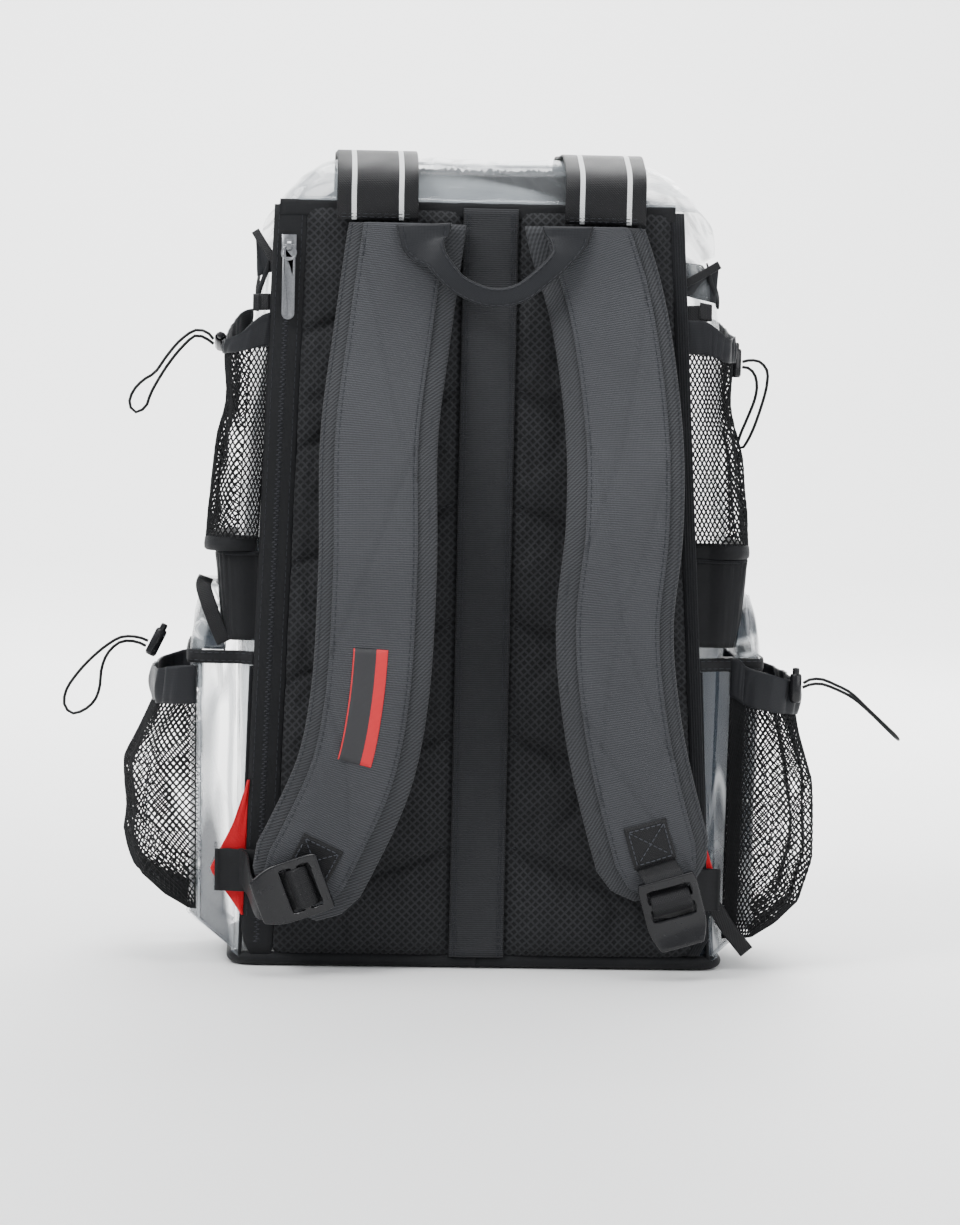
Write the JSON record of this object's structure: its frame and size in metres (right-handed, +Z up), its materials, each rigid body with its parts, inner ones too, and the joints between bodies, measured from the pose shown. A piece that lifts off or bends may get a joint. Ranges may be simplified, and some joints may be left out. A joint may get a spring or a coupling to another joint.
{
  "type": "clear stadium backpack",
  "caption": "Clear vinyl backpack with quilted back, padded straps, clear lid, and net and clear side pockets.",
  "frame": {"origin": "on the floor, under the middle of the bag's base", "axes": "+Z up, the quilted back and straps face -Y, the front faces +Y, +X is to the right seen from the back"},
  "size_m": [0.5241, 0.2176, 0.5085],
  "materials": {
    "air_mesh": "matt padded mesh",
    "ribbed_fabric": "fine ribbed weave",
    "black_fabric": "plain nylon",
    "black_webbing": "satin webbing, two white stripes on the wide ones",
    "clear_vinyl": "clear soft vinyl",
    "black_net": "open knotted net",
    "red_fabric": "bright red nylon",
    "black_plastic": "glossy",
    "grey_metal": "dull grey",
    "black_elastic": "braided elastic"
  },
  "bodies": {
    "bag": {"back_panel": "air_mesh", "spine_strip": "ribbed_fabric", "bag_base": "black_fabric", "zip_tape": "black_fabric", "zip_slider": "grey_metal", "clear_body": "clear_vinyl", "clear_lid": "clear_vinyl", "waist_band": "black_fabric", "mouth_rim": "black_fabric", "throat_collar": "black_fabric", "strap_label": "red_fabric", "haul_loop": "ribbed_fabric", "side_tab_left": "black_fabric", "strap_pad_left": "air_mesh", "strap_face_left": "ribbed_fabric", "strap_patch_left": "black_webbing", "ladder_lock_left": "black_plastic", "lower_webbing_left": "black_webbing", "red_gusset_left": "red_fabric", "top_webbing_left": "black_webbing", "front_buckle_left": "black_plastic", "upper_net_left": "black_net", "upper_net_band_left": "black_fabric", "upper_net_floor_left": "black_fabric", "clear_pocket_left": "clear_vinyl", "pocket_tape_left": "black_fabric", "pocket_lid_left": "clear_vinyl", "lower_net_left": "black_net", "lower_net_band_left": "black_fabric", "side_tab_right": "black_fabric", "strap_pad_right": "air_mesh", "strap_face_right": "ribbed_fabric", "strap_patch_right": "black_webbing", "ladder_lock_right": "black_plastic", "lower_webbing_right": "black_webbing", "red_gusset_right": "red_fabric", "top_webbing_right": "black_webbing", "front_buckle_right": "black_plastic", "upper_net_right": "black_net", "upper_net_band_right": "black_fabric", "upper_net_floor_right": "black_fabric", "clear_pocket_right": "clear_vinyl", "pocket_tape_right": "black_fabric", "pocket_lid_right": "clear_vinyl", "lower_net_right": "black_net", "lower_net_band_right": "black_fabric", "cord_lock_upper_left": "black_plastic", "cord_upper_left": "black_elastic", "cord_lock_upper_right": "black_plastic", "cord_upper_right": "black_elastic", "cord_lock_lower_left": "black_plastic", "cord_lower_left": "black_elastic", "cord_lock_lower_right": "black_plastic", "cord_lower_right": "black_elastic"},
    "zip_pull": {"zip_pull": "grey_metal"},
    "plunger_upper_left": {"plunger_upper_left": "black_plastic"},
    "plunger_upper_right": {"plunger_upper_right": "black_plastic"},
    "plunger_lower_left": {"plunger_lower_left": "black_plastic"},
    "plunger_lower_right": {"plunger_lower_right": "black_plastic"}
  },
  "joints": [
    {"name": "zip_pull_swing", "type": "hinge", "parent": "bag", "child": "zip_pull", "pos_m": [-0.12423, -0.0792, 0.447], "axis": [-1, 0, 0], "range_deg": [0, 150]},
    {"name": "plunger_press_upper_left", "type": "slide", "parent": "bag", "child": "plunger_upper_left", "axis": [0, 0.932, -0.3624], "range_m": [0, 0.003], "stiffness_N_per_m": 150, "springref_m": -0.002},
    {"name": "plunger_press_upper_right", "type": "slide", "parent": "bag", "child": "plunger_upper_right", "axis": [0, 0, -1], "range_m": [0, 0.003], "stiffness_N_per_m": 150, "springref_m": -0.002},
    {"name": "plunger_press_lower_left", "type": "slide", "parent": "bag", "child": "plunger_lower_left", "axis": [-0.435, 0, -0.9004], "range_m": [0, 0.003], "stiffness_N_per_m": 150, "springref_m": -0.002},
    {"name": "plunger_press_lower_right", "type": "slide", "parent": "bag", "child": "plunger_lower_right", "axis": [0, 0, -1], "range_m": [0, 0.003], "stiffness_N_per_m": 150, "springref_m": -0.002}
  ]
}
